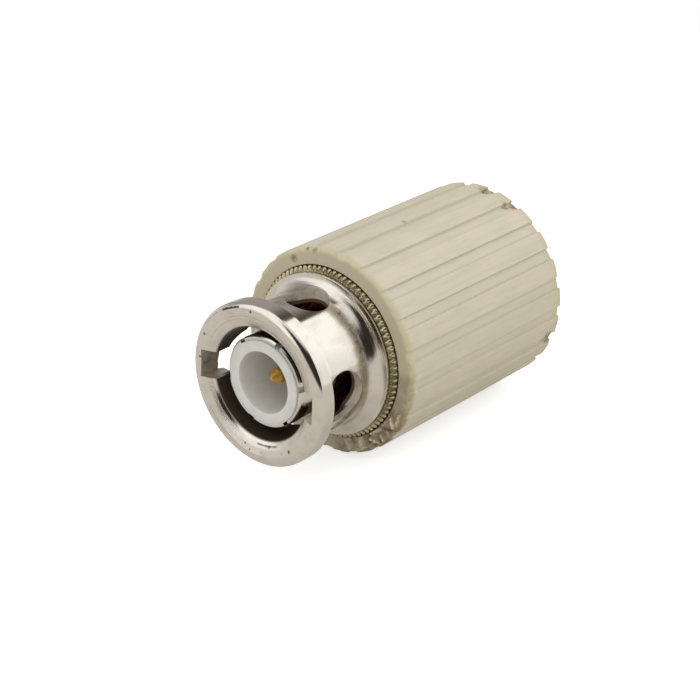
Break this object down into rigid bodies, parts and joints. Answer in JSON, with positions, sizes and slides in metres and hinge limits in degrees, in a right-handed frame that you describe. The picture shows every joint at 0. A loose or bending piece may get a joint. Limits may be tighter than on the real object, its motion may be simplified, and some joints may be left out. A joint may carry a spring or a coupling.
{
  "type": "coaxial terminator",
  "caption": "Bayonet coaxial plug with a load resistor inside and a ribbed plastic cover over its turning coupling nut; it ends a coaxial cable line.",
  "frame": {"origin": "centre of the mouth: where the plug's axis meets the front plane of the coupling nut", "axes": "+Z along the plug's axis, out of the mouth, as the terminator stands on its closed back; +X and +Y across it, with the middles of the two entry slots 3 degrees from the X axis"},
  "size_m": [0.0184, 0.0184, 0.0304],
  "materials": {
    "beige_plastic": "moulded, matt, slightly chalky",
    "nickel_plate": "turned brass with a bright nickel plate",
    "spring_steel": "rolled strip, satin",
    "red_silicone": "moulded, satin",
    "white_ptfe": "turned, waxy",
    "gold_plate": "bright gold plate",
    "solder": "bright solder",
    "tinned_copper": "tinned wire",
    "tinned_steel": "pressed and tinned",
    "resistor_coating": "dipped lacquer",
    "clear_sleeve": "extruded sleeve"
  },
  "bodies": {
    "shell": {"insulating_cover": "beige_plastic", "coupling_nut": "nickel_plate", "snap_ring": "spring_steel", "wave_washer": "spring_steel"},
    "spring_seat": {"thrust_washer": "nickel_plate"},
    "core": {"gasket": "red_silicone", "plug_body": "nickel_plate", "front_insulator": "white_ptfe", "rear_bead": "white_ptfe", "centre_contact": "gold_plate", "front_solder": "solder", "front_lead": "tinned_copper", "resistor_front_cap": "tinned_steel", "resistor_core": "resistor_coating", "resistor_rear_cap": "tinned_steel", "rear_lead": "tinned_copper", "insulating_sleeve": "clear_sleeve", "rear_shell": "nickel_plate", "end_disc": "nickel_plate", "rear_solder": "solder"}
  },
  "joints": [
    {"name": "core_float", "type": "slide", "parent": "shell", "child": "spring_seat", "axis": [0, 0, -1], "range_m": [0, 0.0006], "stiffness_N_per_m": 5000, "springref_m": -0.0004, "deforming": ["wave_washer"]},
    {"name": "nut_turn", "type": "hinge", "parent": "spring_seat", "child": "core", "pos_m": [0, 0, -0.0118], "axis": [0, 0, 1], "continuous": true}
  ]
}
